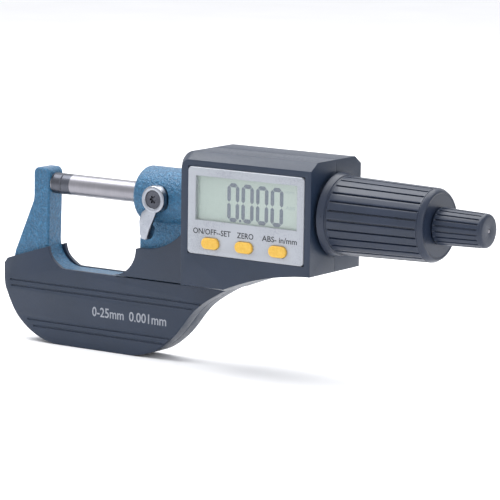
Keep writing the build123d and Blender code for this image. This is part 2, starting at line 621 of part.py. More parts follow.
with BuildPart() as back_cover:
    extrude(box_outline.sketch.moved(Location((0, seat_gap / 2, 0))), amount=-(house_half - seat_gap / 2))
    back_top = back_cover.faces().sort_by(Axis.Y)[-1].edges().filter_by(
        lambda e: e.center().Z > house_top - 3)
    chamfer(back_top, length=bevel_z, length2=bevel_y, reference=back_cover.faces().sort_by(Axis.Y)[-1])
    with BuildSketch(across(house_x0 - 1)):
        with BuildLine():
            Polyline((house_half + 1, skirt_z - 1), (house_half + 1, skirt_z + skirt_bevel_z),
                     (house_half, skirt_z + skirt_bevel_z), (house_half - skirt_bevel_y, skirt_z),
                     (house_half - skirt_bevel_y, skirt_z - 1), close=True)
        make_face()
    extrude(amount=20, mode=Mode.SUBTRACT)
    extrude(tongue_outline.sketch.moved(Location((0, half_t + seat_gap, 0))),
            amount=-(tongue_face - half_t - seat_gap))
    add(block(house_x0 + wall, house_x1 - wall, 0, house_half - wall, -15.6, house_top - 2.8),
        mode=Mode.SUBTRACT)
    add(block(house_x0 + wall, 63.0, 0, house_half - wall - 2, -23.6, -15.0), mode=Mode.SUBTRACT)
    add(block(house_x0 - 1, house_x0 + wall + 0.1, -1, half_t + seat_gap, skirt_z - 1, 0),
        mode=Mode.SUBTRACT)
    add(turned([(house_x0 - 1, 0), (house_x0 - 1, boss_r + seat_gap), (house_x0 + wall + 0.1, boss_r + seat_gap),
                (house_x0 + wall + 0.1, 0)]), mode=Mode.SUBTRACT)
    add(turned([(house_x1 - wall - 1, 0), (house_x1 - wall - 1, sleeve_r + seat_gap),
                (house_x1 + 1, sleeve_r + seat_gap), (house_x1 + 1, 0)]), mode=Mode.SUBTRACT)
    well_low = house_half - cap_t - 0.1 - cell_t
    add(rod_y(cell_x, 0, cell_r + 0.2 + well_wall, well_low, house_half - wall))
    add(rod_y(cell_x, 0, cell_r + 0.2, well_low - 1, house_half + 1), mode=Mode.SUBTRACT)
    add(block(cell_x + 5, cell_x + cell_r + 1.2, well_low - 1, house_half - wall, -2.2, 2.2),
        mode=Mode.SUBTRACT)
    add(rod_y(cell_x, 0, cap_r + hatch_gap, house_half - cap_t - 0.05, house_half + 1), mode=Mode.SUBTRACT)
    for screw_x, screw_z in screw_spots:
        side = house_x0 if screw_x < 70 else house_x1
        near, far = sorted((screw_x, side + (wall / 2 if side < 70 else -wall / 2)))
        add(block(near, far, seat_gap / 2, house_half - wall, screw_z - 1.2, screw_z + 1.2))
        add(rod_y(screw_x, screw_z, 1.9, seat_gap / 2, house_half - wall))
        add(rod_y(screw_x, screw_z, 1.2, -1, house_half + 1), mode=Mode.SUBTRACT)
        add(rod_y(screw_x, screw_z, 1.85, house_half - 1.5, house_half + 1), mode=Mode.SUBTRACT)
keep("back_cover", back_cover.part)

with BuildPart() as cover_screws:
    for screw_x, screw_z in screw_spots:
        add(rod_y(screw_x, screw_z, 0.95, -5.5, house_half - 1.45))
        add(rod_y(screw_x, screw_z, 1.7, house_half - 1.45, house_half - 0.35))
        add(block(screw_x - 1.1, screw_x + 1.1, house_half - 0.9, house_half + 1, screw_z - 0.22,
                  screw_z + 0.22), mode=Mode.SUBTRACT)
        add(block(screw_x - 0.22, screw_x + 0.22, house_half - 0.9, house_half + 1, screw_z - 1.1,
                  screw_z + 1.1), mode=Mode.SUBTRACT)
keep("cover_screws", cover_screws.part)

# ==== display ==============================================================================================
bezel_y1 = recess_y
with BuildPart() as bezel:
    add(block(bezel_x0, bezel_x1, bezel_y1 - bezel_t, bezel_y1, bezel_z0, bezel_z1))
    fillet(bezel.edges().filter_by(Axis.Y), radius=1.2)
    chamfer(bezel.faces().sort_by(Axis.Y)[0].edges(), length=0.2)
    add(block(window_x0, window_x1, -house_half - 2, 0, window_z0, window_z1), mode=Mode.SUBTRACT)
    for button_x in button_xs:
        add(pill(button_x, button_z, button_length + 2 * hatch_gap, button_width + 2 * hatch_gap,
                 -house_half - 2, 0), mode=Mode.SUBTRACT)
keep("bezel", bezel.part)

lens_front = bezel_y1 - bezel_t + lens_sunk
with BuildPart() as display_lens:
    add(block(window_x0 + seat_gap, window_x1 - seat_gap, lens_front, lens_front + lens_t,
              window_z0 + seat_gap, window_z1 - seat_gap))
keep("display_lens", display_lens.part)

glass_front = lens_front + lens_t + 0.1
glass_back = glass_front + glass_t
with BuildPart() as display_glass:
    add(block(window_x0 - glass_margin, window_x1 + glass_margin, glass_front, glass_back,
              window_z0 - glass_margin - glass_foot, window_z1 + glass_margin))
keep("display_glass", display_glass.part)

with BuildPart() as display_holder:
    add(block(window_x0 - glass_margin - 1.1, window_x1 + glass_margin + 1.0, -house_half + wall + seat_gap,
              board_front - seat_gap, window_z0 - glass_margin - 1.4, window_z1 + glass_margin + 0.9))
    add(block(window_x0 - glass_margin - 0.1, window_x1 + glass_margin + 0.1, glass_front - 1, 0,
              window_z0 - glass_margin - glass_foot - 0.1, window_z1 + glass_margin + 0.1), mode=Mode.SUBTRACT)
keep("display_holder", display_holder.part)

with BuildPart() as connector_strips:
    for strip_z in (window_z0 - glass_margin + 0.8, window_z1 + glass_margin - 0.8):
        add(block(window_x0 + 1, window_x1 - 1, glass_back, board_front, strip_z - 0.7, strip_z + 0.7))
keep("connector_strips", connector_strips.part)

with BuildPart() as circuit_board:
    board_x0 = window_x0 - glass_margin
    board_x1 = window_x1 + 1.2
    board_z0 = bezel_z0 - 0.2
    add(block(board_x0, board_x1, board_front, board_front + board_t, board_z0, bezel_z1 - 0.2))
    for corner_x in (board_x0, board_x1):
        add(rod_y(corner_x, board_z0, 2.2, -12, 0), mode=Mode.SUBTRACT)
keep("circuit_board", circuit_board.part)

with BuildPart() as board_chips:
    chip_x = window_x0 + 12.6
    for chip_x0, chip_x1, chip_z0, chip_z1 in ((chip_x, chip_x + 11.0, bezel_z1 - 3.6, bezel_z1 - 0.8),
                                               (chip_x - 0.5, chip_x + 3.5, button_z, button_z + 1.9)):
        add(block(chip_x0, chip_x1, board_front + board_t, board_front + board_t + 1.0, chip_z0, chip_z1))
keep("board_chips", board_chips.part)

# ==== buttons ==============================================================================================
flange_front = -house_half + wall + 0.05
for button_index, button_x in enumerate(button_xs):
    with BuildPart() as button:
        add(pill(button_x, button_z, button_length, button_width, bezel_y1 - bezel_t - button_proud,
                 flange_front + 0.1))
        fillet(button.faces().sort_by(Axis.Y)[0].edges(), radius=0.35)
        add(pill(button_x, button_z, button_length + 1.4, button_width + 1.2, flange_front,
                 flange_front + button_flange))
    keep(("button_power", "button_zero", "button_mode")[button_index], button.part)

dome_top = flange_front + button_flange + button_travel + 0.06
with BuildPart() as switch_mat:
    add(block(button_xs[0] - 5.2, button_xs[2] + 5.2, board_front - 0.5, board_front, button_z - 2.85,
              button_z + 2.85))
    for button_x in button_xs:
        add(pill(button_x, button_z, 4.2, 2.6, dome_top, board_front - 0.3))
keep("switch_mat", switch_mat.part)

# ==== battery ==============================================================================================
cell_y1 = house_half - cap_t - 0.1
with BuildPart() as button_cell:
    add(rod_y(cell_x, 0, cell_r, cell_y1 - cell_t + 0.3, cell_y1))
    add(rod_y(cell_x, 0, cell_r - 0.9, cell_y1 - cell_t + 0.02, cell_y1 - cell_t + 0.3))
keep("button_cell", button_cell.part)

with BuildPart() as contact_negative:
    add(block(cell_x - 7.5, cell_x + 7.5, well_low - 0.25, well_low, -1.8, 1.8))
keep("contact_negative", contact_negative.part)

with BuildPart() as contact_positive:
    add(block(cell_x + cell_r + 0.1, cell_x + cell_r + 0.3, well_low + 0.3, cell_y1 - 0.5, -1.8, 1.8))
    add(block(cell_x + cell_r + 0.1, cell_x + cell_r + 1.1, well_low + 0.3, well_low + 0.55, -1.8, 1.8))
keep("contact_positive", contact_positive.part)

with BuildPart() as battery_cap:
    add(rod_y(cell_x, 0, cap_r, house_half - cap_t, house_half - 0.05))
    add(block(cell_x - 5.5, cell_x + 5.5, house_half - 0.85, house_half + 1, -0.9, 0.9),
        mode=Mode.SUBTRACT)
    chamfer(battery_cap.faces().sort_by(Axis.Y)[-1].edges().filter_by(GeomType.CIRCLE).filter_by(
        lambda e: e.radius > cap_r - 0.1), length=0.25)
keep("battery_cap", battery_cap.part)

print(len(finished), "nodes")
micrometer = Compound(label="outside_micrometer", children=finished)
print(micrometer.bounding_box())
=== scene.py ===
# %% [markdown]
# # A digital outside micrometer
# This is a 0 to 25 mm micrometer with a display. Every hard part comes from the CAD model, which is
# loaded as a fixed frame, so nothing here is fitted by eye. What Blender adds is finish: paint, moulded
# plastic, ground steel, the liquid crystal digits, the printed words and the soft edges that catch the
# light.

from math import cos, radians, sin

import bmesh
import bpy
import numpy as np
from mathutils import Matrix, Vector


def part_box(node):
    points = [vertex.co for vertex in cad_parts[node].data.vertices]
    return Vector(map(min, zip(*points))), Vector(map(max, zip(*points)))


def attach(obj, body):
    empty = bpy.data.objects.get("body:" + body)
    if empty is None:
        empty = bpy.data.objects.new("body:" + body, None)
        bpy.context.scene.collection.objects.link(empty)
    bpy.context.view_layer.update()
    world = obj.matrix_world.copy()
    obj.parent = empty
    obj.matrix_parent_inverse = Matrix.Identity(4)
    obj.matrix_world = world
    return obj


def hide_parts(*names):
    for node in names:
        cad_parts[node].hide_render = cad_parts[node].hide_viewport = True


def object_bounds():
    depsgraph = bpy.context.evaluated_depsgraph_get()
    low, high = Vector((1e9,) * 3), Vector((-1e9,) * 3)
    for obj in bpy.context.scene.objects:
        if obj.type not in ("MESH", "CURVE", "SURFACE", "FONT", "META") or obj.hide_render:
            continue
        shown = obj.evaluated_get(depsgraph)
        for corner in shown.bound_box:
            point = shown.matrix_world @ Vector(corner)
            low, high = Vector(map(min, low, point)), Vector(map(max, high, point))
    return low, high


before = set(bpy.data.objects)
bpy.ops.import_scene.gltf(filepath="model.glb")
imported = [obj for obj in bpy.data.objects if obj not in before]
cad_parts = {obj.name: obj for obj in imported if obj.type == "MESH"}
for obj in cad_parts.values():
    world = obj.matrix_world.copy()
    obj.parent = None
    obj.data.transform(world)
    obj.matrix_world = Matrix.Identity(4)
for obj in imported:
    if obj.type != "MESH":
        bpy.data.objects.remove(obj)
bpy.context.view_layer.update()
MM = 0.001

# %% [markdown]
# The spindle axis is the X axis and the two measuring faces meet at the origin, so a profile can be
# written straight in millimetres. The display looks towards -Y. One helper turns points and faces into a
# piece, one lists the faces of a grid of points, and one is a soft step from 0 to 1.


# %% Mesh helpers
def new_piece(name, verts, faces, smooth=True, sharp=35):
    """A mesh object from vertex rows in millimetres and faces. Edges over `sharp` degrees stay sharp."""
    mesh = bpy.data.meshes.new(name)
    mesh.from_pydata((np.asarray(verts, float) * MM).tolist(), [], faces)
    work = bmesh.new()
    work.from_mesh(mesh)
    bmesh.ops.remove_doubles(work, verts=work.verts, dist=0.002 * MM)
    bmesh.ops.recalc_face_normals(work, faces=work.faces)
    work.to_mesh(mesh)
    work.free()
    mesh.polygons.foreach_set("use_smooth", np.full(len(mesh.polygons), smooth))
    if smooth:
        mesh.set_sharp_from_angle(angle=radians(sharp))
    piece = bpy.data.objects.new(name, mesh)
    bpy.context.scene.collection.objects.link(piece)
    return piece


def grid_faces(rows, columns, wrap_rows=False):
    """Quads between neighbouring rows and columns. Columns always wrap round; rows wrap if asked."""
    last = rows if wrap_rows else rows - 1
    r, c = np.meshgrid(np.arange(last), np.arange(columns), indexing="ij")
    r2, c2 = (r + 1) % rows, (c + 1) % columns
    corners = np.stack([r * columns + c, r * columns + c2, r2 * columns + c2, r2 * columns + c], axis=-1)
    return [tuple(q) for q in corners.reshape(-1, 4).tolist()]


def smoothstep(edge0, edge1, value):
    """0 below edge0, 1 above edge1, and 3t^2 - 2t^3 in between."""
    t = np.clip((value - edge0) / (edge1 - edge0), 0, 1)
    return t * t * (3 - 2 * t)


# %% [markdown]
# Materials are node trees. One function turns a hex colour to linear light, one adds a node with its
# settings and links, and one starts a material with a Principled shader and object coordinates in
# millimetres, so that every pattern below can be given its real size.


# %% Material helpers
def hex_colour(code):
    """sRGB hex to linear RGBA, by the sRGB curve."""
    srgb = np.array([int(code[i:i + 2], 16) for i in (1, 3, 5)]) / 255
    linear = np.where(srgb <= 0.04045, srgb / 12.92, ((srgb + 0.055) / 1.055) ** 2.4)
    return (*linear.tolist(), 1.0)


def add(tree, kind, inputs=None, **settings):
    """Adds one shader node. inputs maps a socket's name or number to a value or to another node's output."""
    made = tree.nodes.new("ShaderNode" + kind)
    for key, value in settings.items():
        setattr(made, key, value)
    for key, value in (inputs or {}).items():
        if isinstance(value, bpy.types.NodeSocket):
            tree.links.new(value, made.inputs[key])
        else:
            made.inputs[key].default_value = value
    return made


def start(name, **sockets):
    """A new material: its tree, its Principled shader with its sockets set, and object coordinates in mm."""
    material = bpy.data.materials.new(name)
    material.use_nodes = True
    tree = material.node_tree
    shader = tree.nodes["Principled BSDF"]
    for key, value in sockets.items():
        shader.inputs[key.replace("_", " ")].default_value = value
    place = add(tree, "TexCoord")
    in_mm = add(tree, "VectorMath", {0: place.outputs["Object"], 3: 1 / MM}, operation="SCALE")
    return material, tree, shader, in_mm.outputs[0]


def ramp(tree, fac, *stops):
    """A colour ramp through (position, hex or grey number) stops."""
    made = add(tree, "ValToRGB", {0: fac})
    while len(made.color_ramp.elements) < len(stops):
        made.color_ramp.elements.new(0.5)
    for element, (position, colour) in zip(made.color_ramp.elements, stops):
        element.position = position
        element.color = hex_colour(colour) if isinstance(colour, str) else (colour, colour, colour, 1)
    return made.outputs["Color"]


def bump(tree, shader, height, distance):
    """Feeds a height pattern into the shader's normal. distance is the depth in millimetres."""
    made = add(tree, "Bump", {"Height": height, "Distance": distance * MM, "Strength": 1.0})
    tree.links.new(made.outputs[0], shader.inputs["Normal"])


finishes = {}

# %% [markdown]
# ## Hammertone paint
# The frame is a casting sprayed with blue hammer-finish enamel. Silicone in the paint pulls it into small
# dimples while it dries, and fine aluminium flake makes them sparkle. A cellular pattern about 0.9 mm
# across gives the dimples, a finer noise gives the flake, and a clear coat gives the broken highlight
# along the boss.

# %% Blue hammer paint
paint, tree, shader, mm = start("blue_hammer_enamel", Roughness=0.40, Metallic=0.30, Coat_Weight=0.30,
                                Coat_Roughness=0.10)
cells = add(tree, "TexVoronoi", {"Vector": mm, "Scale": 1 / 0.95, "Randomness": 1.0, "Smoothness": 0.7},
            feature="SMOOTH_F1")
ripple = add(tree, "TexNoise", {"Vector": mm, "Scale": 1 / 0.6, "Detail": 4.0, "Roughness": 0.6})
patches = add(tree, "TexNoise", {"Vector": mm, "Scale": 1 / 9, "Detail": 2.0})
soft_cells = add(tree, "Math", {0: cells.outputs["Distance"], 1: 0.45}, operation="MULTIPLY")
dimple = add(tree, "Math", {0: soft_cells.outputs[0], 1: ripple.outputs["Fac"]}, operation="ADD")
blue = ramp(tree, dimple.outputs[0], (0.5, "#154d6e"), (0.72, "#1b577b"), (0.95, "#2a6b91"))
shade = ramp(tree, patches.outputs["Fac"], (0.3, 0.9), (0.7, 1.0))
both = add(tree, "Mix", {0: 1.0, 6: blue, 7: shade}, data_type="RGBA", blend_type="MULTIPLY")
tree.links.new(both.outputs[2], shader.inputs["Base Color"])
bump(tree, shader, dimple.outputs[0], 0.34)
tree.links.new(shader.inputs["Normal"].links[0].from_socket, shader.inputs["Coat Normal"])
finishes["blue_hammer_paint"] = paint

# %% [markdown]
# ## Moulded plastic
# The covers, grips, thimble and knob are slate-grey ABS. Injection moulding copies the spark-eroded tool,
# so the surface is satin with a grain of about 0.2 mm. That is finer than the picture can show, so the
# grain is drawn at 0.45 mm, with faint cloudy patches where the plastic flowed and was handled. The
# turned parts are a little glossier, so they get their own mix. ABS has an IOR of about 1.53; 1.43 is
# used, because it matched the satin look of the mouldings in even studio light.

# %% Grey plastics
for slot, colour_low, colour_high, gloss in (("grey_abs", "#1a2739", "#1e2b3f", 0.40),
                                             ("thimble_abs", "#1f2838", "#242d3f", 0.33)):
    plastic, tree, shader, mm = start("moulded_" + slot, IOR=1.43)
    grain = add(tree, "TexNoise", {"Vector": mm, "Scale": 1 / 0.45, "Detail": 3.0, "Roughness": 0.55})
    cloud = add(tree, "TexNoise", {"Vector": mm, "Scale": 1 / 14, "Detail": 3.0, "Roughness": 0.6})
    tree.links.new(ramp(tree, cloud.outputs["Fac"], (0.3, colour_low), (0.7, colour_high)),
                   shader.inputs["Base Color"])
    matt = add(tree, "MapRange", {0: grain.outputs["Fac"], 1: 0.3, 2: 0.7, 3: gloss - 0.06, 4: gloss + 0.08})
    tree.links.new(matt.outputs[0], shader.inputs["Roughness"])
    bump(tree, shader, grain.outputs["Fac"], 0.012)
    finishes[slot] = plastic

# %% [markdown]
# ## Steel, chrome and carbide
# The spindle is hardened steel, ground round: fine rings run about the axis, 0.05 mm apart on the real
# one and drawn at 0.45 mm here. Tungsten carbide tips are darker and lapped smooth. The lock lever is
# bead-blasted and satin chromed. A metal keeps the default IOR, and its colour is its reflection.

# %% Metals
for slot, name, low, high, rough, stretch, size, depth in (
    ("ground_steel", "ground_hardened_steel", "#87868c", "#8e8d93", 0.37, (1, 0.03, 0.03), 0.45, 0.0002),
    ("tungsten_carbide", "lapped_tungsten_carbide", "#4b4d54", "#5a5c64", 0.36, (1, 1, 1), 0.30, 0.001),
    ("bright_chrome", "satin_chrome_plate", "#8e929b", "#a2a6ad", 0.30, (1, 1, 1), 0.40, 0.002),
    ("black_steel", "black_oxide_steel", "#44464d", "#5a5c64", 0.38, (1, 1, 1), 0.35, 0.003),
    ("lock_brass", "turned_brass", "#b08a4a", "#c9a661", 0.30, (1, 1, 0.1), 0.30, 0.001),
    ("cell_steel", "nickel_plated_steel", "#b9b8b4", "#d0cfca", 0.24, (1, 1, 1), 0.40, 0.001),
):
    metal, tree, shader, mm = start(name, Metallic=1.0)
    turn = add(tree, "VectorMath", {0: mm, 1: stretch}, operation="MULTIPLY")
    marks = add(tree, "TexNoise", {"Vector": turn.outputs[0], "Scale": 1 / size, "Detail": 4.0,
        "Roughness": 0.6})
    stain = add(tree, "TexNoise", {"Vector": mm, "Scale": 1 / 5, "Detail": 2.0})
    mixed = add(tree, "Math", {0: marks.outputs["Fac"], 1: stain.outputs["Fac"]}, operation="MULTIPLY")
    tree.links.new(ramp(tree, mixed.outputs[0], (0.15, low), (0.38, high)), shader.inputs["Base Color"])
    satin = add(tree, "MapRange", {0: marks.outputs["Fac"], 1: 0.3, 2: 0.7, 3: rough - 0.03, 4: rough + 0.03})
    tree.links.new(satin.outputs[0], shader.inputs["Roughness"])
    bump(tree, shader, marks.outputs["Fac"], depth)
    finishes[slot] = metal

# %% [markdown]
# ## Bezel and keys
# The display surround is ABS sprayed silver: a fine metal flake under a matt lacquer. The keys are yellow
# silicone rubber, slightly soft to light, with a dry sheen. The mat under them is the same rubber in
# grey.

# %% Bezel and rubber
lacquer, tree, shader, mm = start("silver_lacquer", Metallic=0.35, Roughness=0.42)
flake = add(tree, "TexNoise", {"Vector": mm, "Scale": 1 / 0.35, "Detail": 2.0})
drift = add(tree, "TexNoise", {"Vector": mm, "Scale": 1 / 18, "Detail": 1.0})
tone = add(tree, "Math", {0: flake.outputs["Fac"], 1: drift.outputs["Fac"]}, operation="ADD")
tree.links.new(ramp(tree, tone.outputs[0], (0.75, "#91959d"), (1.25, "#a0a4ab")), shader.inputs["Base Color"])
bump(tree, shader, flake.outputs["Fac"], 0.006)
finishes["silver_bezel"] = lacquer

for slot, name, low, high in (("yellow_keys", "yellow_silicone_rubber", "#cb9f36", "#d6ae4c"),
                              ("grey_silicone", "grey_silicone_rubber", "#6d7076", "#7d8086"),
                              ("pink_elastomer", "pink_elastomer", "#c9838c", "#d8969e")):
    rubber, tree, shader, mm = start(name, Roughness=0.5, Subsurface_Weight=0.15, Subsurface_Scale=0.6 * MM,
                                     Sheen_Weight=0.15, IOR=1.41)
    dust = add(tree, "TexNoise", {"Vector": mm, "Scale": 1 / 0.6, "Detail": 3.0})
    tree.links.new(ramp(tree, dust.outputs["Fac"], (0.3, low), (0.7, high)), shader.inputs["Base Color"])
    bump(tree, shader, dust.outputs["Fac"], 0.01)
    finishes[slot] = rubber

# %% [markdown]
# ## The display
# A reflective liquid crystal cell has a grey-green polariser over a dull mirror, so it looks slightly
# pearly. The clear window over it is acrylic: light goes straight through except for the share that
# mirrors, and mixing a transparent and a glossy shader does that without noisy caustics. The share
# follows Schlick's rule, 0.04 face on and rising with the fifth power of 1 - cos(angle). It is the same
# from both sides of the pane. The Fresnel node is not: light that leaves the back face unbent would count
# as totally reflected past 43 degrees, and turn it black.

# %% Display cell and window
cell, tree, shader, mm = start("reflective_lcd_cell", Roughness=0.45, Coat_Weight=0.3, Coat_Roughness=0.2)
pearl = add(tree, "TexNoise", {"Vector": mm, "Scale": 1 / 0.4, "Detail": 2.0})
sweep = add(tree, "SeparateXYZ", {0: mm})
# Painted light: the cell is painted lighter towards +X across the window, the way the light falls on it. The
# pearl noise added on top is the cell's own.
painted_light_across_x = add(tree, "MapRange", {0: sweep.outputs["X"], 1: 58.0, 2: 94.0, 3: 0.0, 4: 0.8})
pearl_and_painted_light = add(tree, "Math", {0: painted_light_across_x.outputs[0], 1: pearl.outputs["Fac"]}, operation="ADD")
tree.links.new(ramp(tree, pearl_and_painted_light.outputs[0], (0.45, "#97a29e"), (1.3, "#a4ada9")), shader.inputs["Base Color"])
bump(tree, shader, pearl.outputs["Fac"], 0.003)
finishes["display_cell"] = cell

window = bpy.data.materials.new("clear_acrylic_window")
window.use_nodes = True
tree = window.node_tree
tree.nodes.remove(tree.nodes["Principled BSDF"])
clear = add(tree, "BsdfTransparent", {0: hex_colour("#fbfdfc")})
gloss = add(tree, "BsdfGlossy", {0: (1, 1, 1, 1), "Roughness": 0.06})
facing = add(tree, "LayerWeight", {"Blend": 0.5})
grazing = add(tree, "Math", {0: facing.outputs["Facing"], 1: 5.0}, operation="POWER")
share = add(tree, "Math", {0: grazing.outputs[0], 1: 0.96, 2: 0.04}, operation="MULTIPLY_ADD")
blend = add(tree, "MixShader", {0: share.outputs[0], 1: clear.outputs[0], 2: gloss.outputs[0]})
tree.links.new(blend.outputs[0], tree.nodes["Material Output"].inputs[0])
finishes["display_window"] = window

# %% [markdown]
# ## Hidden electronics
# Inside are a moulded holder, a green circuit board with a solder mask over woven glass, and black epoxy
# chips. They show only if the covers are taken off, but each still gets its own grain.

# %% Board, chips and holder
for slot, name, low, high, rough, size in (
    ("board_green", "solder_masked_fibreglass", "#1f5a3c", "#2b6e4b", 0.32, 0.5),
    ("chip_black", "moulded_epoxy", "#1d1e20", "#2a2b2e", 0.55, 0.3),
    ("white_holder", "white_moulded_abs", "#d9dad6", "#e6e7e3", 0.5, 0.5),
    ("label_ink", "screen_print_ink", "#14161b", "#1b1e24", 0.6, 0.25),
    ("grip_ink", "pale_pad_print_ink", "#858992", "#90949d", 0.55, 0.25),
    ("crystal_ink", "dark_liquid_crystal", "#4e576a", "#575f71", 0.5, 0.3),
    ("crystal_faint", "faint_liquid_crystal", "#899497", "#919c9d", 0.5, 0.3),
):
    solid, tree, shader, mm = start(name, Roughness=rough)
    mottle = add(tree, "TexNoise", {"Vector": mm, "Scale": 1 / size, "Detail": 3.0})
    tree.links.new(ramp(tree, mottle.outputs["Fac"], (0.3, low), (0.7, high)), shader.inputs["Base Color"])
    bump(tree, shader, mottle.outputs["Fac"], 0.006)
    finishes[slot] = solid
print("finishes:", len(finishes))

# %% Put the finishes on the CAD nodes
slot_of = {}
for node_name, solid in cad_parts.items():
    for place in solid.material_slots:
        slot_of[node_name] = place.material.name.split(".")[0]
        place.material = finishes[slot_of[node_name]]
print("nodes given a finish:", len(slot_of))

# %% [markdown]
# ## Soft edges on the mouldings
# No moulded or machined edge is perfectly sharp: it has a small radius, and that radius is what draws the
# thin light line round each panel. The CAD mesh is loose triangles, so a copy is welded, its flat faces
# are joined, and a Bevel modifier rounds the edges in real geometry. The copy stands for the CAD node.


# %% Softened copies
def softened(node, name, width, body, segments=3, angle=32, exact=0.35):
    """Stands in for a CAD node: welded, flat faces joined, edges over `angle` degrees rounded `width` mm."""
    mesh = bpy.data.meshes.new(name)
    work = bmesh.new()
    work.from_mesh(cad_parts[node].data)
    bmesh.ops.remove_doubles(work, verts=work.verts, dist=0.001 * MM)
    bmesh.ops.dissolve_limit(work, angle_limit=radians(exact), verts=work.verts, edges=work.edges)
    work.to_mesh(mesh)
    work.free()
    mesh.polygons.foreach_set("use_smooth", np.full(len(mesh.polygons), True))
    piece = bpy.data.objects.new(name, mesh)
    bpy.context.scene.collection.objects.link(piece)
    mesh.materials.append(finishes[slot_of[node]])
    edge = piece.modifiers.new("rounded edges", "BEVEL")
    edge.width = width * MM
    edge.segments = segments
    edge.limit_method = "ANGLE"
    edge.angle_limit = radians(angle)
    edge.harden_normals = True
    edge.use_clamp_overlap = True
    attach(piece, body)
    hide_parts(node)
    print(name, "faces", len(mesh.polygons))
    return piece


softened("front_cover", "front_cover_moulding", 0.35, "base")
softened("back_cover", "back_cover_moulding", 0.35, "base")
softened("front_grip", "front_grip_moulding", 0.6, "base")
softened("back_grip", "back_grip_moulding", 0.6, "base")
softened("bezel", "bezel_moulding", 0.2, "base")

# %% [markdown]
# ## Thimble
# The thimble is turned by hand, so it is moulded with 26 flat lands between narrow grooves. It is one
# surface of two parameters: x along a closed profile, and the angle t round the axis. The radius is
# profile(x) * [flat(t)] - depth * groove(t) * window(x), where flat() bends each land towards its chord,
# groove() is a smooth dip at each groove, and window() fades both out before the collar and the end band.


# %% Fluted surfaces
def fluted(name, profile, flutes, groove_half, groove_depth, fade_in, fade_out, flatness, phase=0.5):
    """Turned, fluted skin. profile rows are (x, radius, outer) with outer 1 where the flutes may cut."""
    rows = np.array(profile, float)
    x, radius, outer = rows[:, 0:1], rows[:, 1:2], rows[:, 2:3]
    period = 2 * np.pi / flutes
    half = groove_half / radius.max()
    alpha = period / 2 - half
    near = half * np.array([-1.3, -1.0, -0.75, -0.45, 0.0, 0.45, 0.75, 1.0, 1.3])
    land = np.linspace(1.3 * half, period - 1.3 * half, 6)[1:-1]
    one = np.concatenate([near, land])
    angle = (np.arange(flutes)[:, None] * period + one[None, :]).ravel()[None, :]
    from_groove = np.abs((angle + period / 2) % period - period / 2)
    from_land = np.clip(period / 2 - from_groove, 0, alpha)
    dip = 1 - smoothstep(0.5, 1.1, from_groove / half)
    window = outer * smoothstep(*fade_in, x) * (1 - smoothstep(*fade_out, x))
    chord = np.cos(alpha) / np.cos(from_land)
    r = radius * (1 - window * flatness * (1 - chord)) - window * groove_depth * dip
    turn = angle + phase * period
    points = np.stack([x + 0 * r, r * np.sin(turn), r * np.cos(turn)], axis=-1)
    closed = bool(np.allclose(rows[0, :2], rows[-1, :2]))
    grid = points[:-1] if closed else points
    faces = grid_faces(grid.shape[0], grid.shape[1], wrap_rows=closed)
    piece = new_piece(name, grid.reshape(-1, 3), faces, sharp=40)
    print(name, "columns", angle.shape[1], "faces", len(piece.data.polygons))
    return piece


def rows_between(start_row, end_row, count):
    """Evenly spaced profile rows, without the last."""
    t = np.linspace(0, 1, count, endpoint=False)[:, None]
    return (np.array(start_row)[None, :] * (1 - t) + np.array(end_row)[None, :] * t).tolist()


thimble_profile = (
    [(99.6, 9.35, 0), (99.6, 12.1, 0), (99.66, 12.28, 0), (99.82, 12.42, 0), (100.0, 12.42, 0),
     (101.7, 11.7, 0),
     (101.85, 11.4, 0), (102.1, 11.3, 0), (102.25, 11.4, 0), (102.35, 11.52, 0)]
    + rows_between((102.45, 11.55, 1), (103.3, 11.53, 1), 8)
    + rows_between((103.3, 11.53, 1), (131.1, 10.79, 1), 12)
    + rows_between((131.1, 10.79, 1), (132.0, 10.75, 1), 8)
    + [(132.0, 10.75, 0), (132.06, 10.62, 0), (132.2, 10.6, 0), (132.3, 10.7, 0), (132.45, 10.68, 0),
       (133.4, 10.1, 0), (133.62, 9.9, 0), (133.7, 9.7, 0), (133.68, 9.4, 0), (133.6, 9.2, 0),
        (132.5, 9.2, 0),
       (132.5, 5.4, 0), (127.4, 5.4, 0), (127.4, 9.35, 0), (99.6, 9.35, 0)]
)
thimble = fluted("thimble_moulding", thimble_profile, 26, 0.33, 0.6, (102.4, 103.0), (131.3, 131.95), 0.75)
thimble.data.materials.append(finishes["thimble_abs"])
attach(thimble, "spindle_set")
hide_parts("thimble")

# %% [markdown]
# ## Ratchet knob
# The same surface, smaller: 20 grooves, a domed end, and a small recess for the pin. Inside is the bore
# for the ratchet. The profile starts and ends on the axis, so both poles close to a point.

# %% Ratchet knob
knob_profile = (
    [(147.1, 0.0, 0), (147.1, 3.6, 0), (146.7, 4.0, 0), (133.95, 4.0, 0), (133.95, 5.1, 0), (134.02, 5.28, 0),
     (134.2, 5.42, 0)]
    + rows_between((134.35, 5.44, 1), (135.1, 5.42, 1), 6)
    + rows_between((135.1, 5.42, 1), (147.7, 5.03, 1), 8)
    + rows_between((147.7, 5.03, 1), (148.5, 4.98, 1), 6)
    + [(148.55, 4.97, 0), (148.9, 4.94, 0), (149.25, 4.8, 0), (149.5, 4.58, 0), (149.66, 4.25, 0),
     (149.7, 3.9, 0),
       (149.7, 0.75, 0), (149.66, 0.62, 0), (149.45, 0.55, 0), (149.45, 0.0, 0)]
)
knob = fluted("knob_moulding", knob_profile, 20, 0.25, 0.36, (134.4, 134.9), (148.0, 148.5), 0.6)
knob.data.materials.append(finishes["thimble_abs"])
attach(knob, "knob_set")
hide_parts("ratchet_knob")
